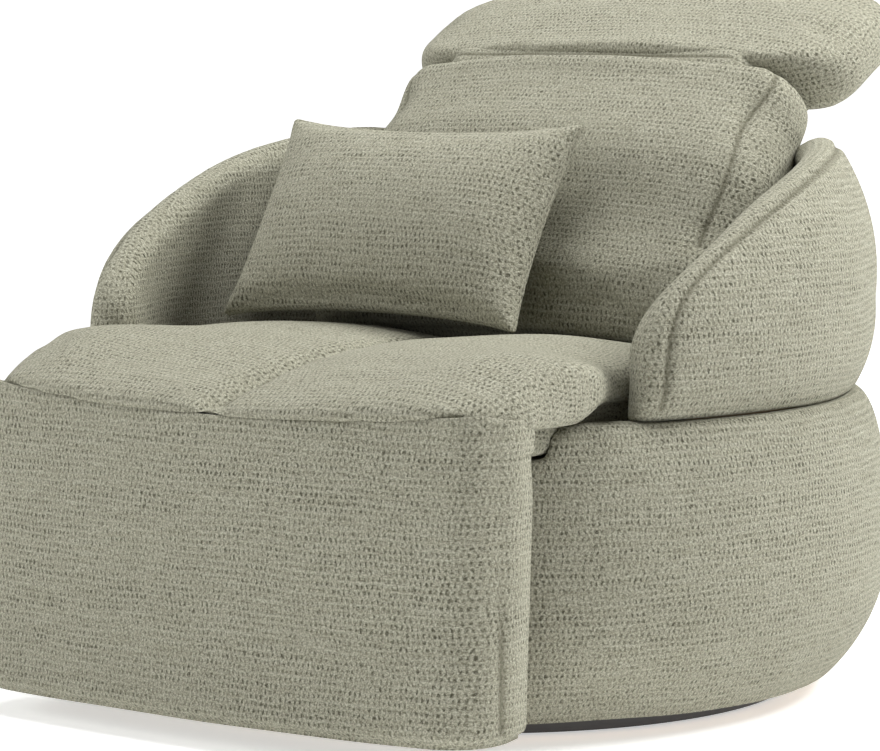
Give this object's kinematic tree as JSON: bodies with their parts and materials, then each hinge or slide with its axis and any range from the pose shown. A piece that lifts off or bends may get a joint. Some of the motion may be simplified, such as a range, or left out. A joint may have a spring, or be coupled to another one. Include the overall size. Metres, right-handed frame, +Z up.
{
  "type": "swivel recliner",
  "caption": "Round upholstered swivel recliner: tub on a low plinth, wrap-around arms, gliding seat, tipping back, folding headrest, power footrest and a loose lumbar pillow.",
  "frame": {"origin": "on the floor, on the swivel axis, at the centre of the plinth", "axes": "+Z up along the swivel axis, -Y towards the front of the chair, +X to the sitter's left"},
  "size_m": [1.04, 1.1089, 0.8756],
  "materials": {
    "upholstery_fabric": "chunky chenille weave",
    "webbing_straps": "woven elastic strap",
    "plywood": "raw plywood",
    "black_steel": "satin black",
    "zinc_steel": "zinc plated",
    "bearing_steel": "polished",
    "black_plastic": "fine texture",
    "glide_plastic": "smooth nylon"
  },
  "bodies": {
    "base": {"floor_glides": "glide_plastic", "plinth_ring": "black_steel", "base_plate": "zinc_steel", "swivel_spindle": "zinc_steel", "spindle_nut": "zinc_steel", "bearing_lower_race": "zinc_steel", "bearing_balls": "bearing_steel"},
    "chassis": {"bearing_upper_race": "zinc_steel", "swivel_bush": "glide_plastic", "chassis_board": "plywood", "arm_frame": "plywood", "tub_shell": "upholstery_fabric", "arm_shell": "upholstery_fabric", "side_panels": "plywood", "cross_panel_front": "plywood", "cross_panel_rear": "plywood", "glide_rails": "zinc_steel", "guide_brackets": "black_steel", "guide_pins": "zinc_steel", "recline_actuator_tube": "zinc_steel", "recline_gear_motor": "black_plastic", "recline_actuator_stand": "black_steel", "battery_pack": "black_plastic", "control_unit": "black_plastic", "control_bezel": "black_plastic", "charge_socket": "black_plastic"},
    "seat": {"seat_rails": "plywood", "seat_cross_rails": "plywood", "seat_webbing": "webbing_straps", "seat_cushion": "upholstery_fabric", "seat_runners": "zinc_steel", "recline_actuator_rod": "zinc_steel", "recline_drive_plate": "black_steel", "footrest_actuator_tube": "zinc_steel", "footrest_gear_motor": "black_plastic", "footrest_hinge_blocks": "black_steel", "back_pivot_pins": "zinc_steel"},
    "back": {"back_cushion": "upholstery_fabric", "back_uprights": "plywood", "back_cross_rails": "plywood", "back_webbing": "webbing_straps", "recline_cams": "black_steel", "headrest_hinge_lower": "black_steel"},
    "headrest": {"headrest_cushion": "upholstery_fabric", "headrest_board": "plywood", "headrest_hinge_upper": "black_steel", "headrest_hinge_pins": "zinc_steel"},
    "footrest": {"footrest_pad": "upholstery_fabric", "footrest_board": "plywood", "footrest_torque_tube": "zinc_steel", "footrest_arms": "black_steel", "footrest_lever": "black_steel"},
    "footrest_rod": {"footrest_actuator_rod": "zinc_steel", "footrest_fork_pin": "zinc_steel"},
    "pillow": {"lumbar_pillow": "upholstery_fabric"},
    "footrest_switch": {"rocker_footrest": "black_plastic"},
    "back_switch": {"rocker_back": "black_plastic"}
  },
  "joints": [
    {"name": "base_swivel", "type": "hinge", "parent": "base", "child": "chassis", "pos_m": [0, 0, 0.03], "axis": [0, 0, 1], "continuous": true},
    {"name": "seat_glide", "type": "slide", "parent": "chassis", "child": "seat", "axis": [0, -1, 0], "range_m": [0, 0.15]},
    {"name": "back_recline", "type": "hinge", "parent": "seat", "child": "back", "pos_m": [0, 0.15, 0.29], "axis": [-1, 0, 0], "range_deg": [0, 9]},
    {"name": "headrest_tilt", "type": "hinge", "parent": "back", "child": "headrest", "pos_m": [0, 0.26911, 0.77939], "axis": [1, 0, 0], "range_deg": [0, 50]},
    {"name": "footrest_lift", "type": "hinge", "parent": "seat", "child": "footrest", "pos_m": [0, -0.535, 0.38], "axis": [-1, 0, 0], "range_deg": [0, 80]},
    {"name": "footrest_drive", "type": "slide", "parent": "seat", "child": "footrest_rod", "axis": [0, -1, 0], "range_m": [0, 0.1517]},
    {"name": "pillow_lift", "type": "slide", "parent": "back", "child": "pillow", "axis": [0, -0.848, 0.5299], "range_m": [0, 0.15]},
    {"name": "footrest_switch_rock", "type": "hinge", "parent": "chassis", "child": "footrest_switch", "pos_m": [-0.49188, -0.08717, 0.47], "axis": [0.2079, -0.9781, 0], "range_deg": [-5, 5], "stiffness_Nm_per_rad": 0.4},
    {"name": "back_switch_rock", "type": "hinge", "parent": "chassis", "child": "back_switch", "pos_m": [-0.48481, -0.12043, 0.47], "axis": [0.2079, -0.9781, 0], "range_deg": [-5, 5], "stiffness_Nm_per_rad": 0.4}
  ],
  "couplings": [
    {"joint": "back_recline", "follows": "seat_glide", "rad_per_m": 1.0472},
    {"joint": "footrest_drive", "follows": "footrest_lift", "m_per_rad": 0.10865}
  ]
}
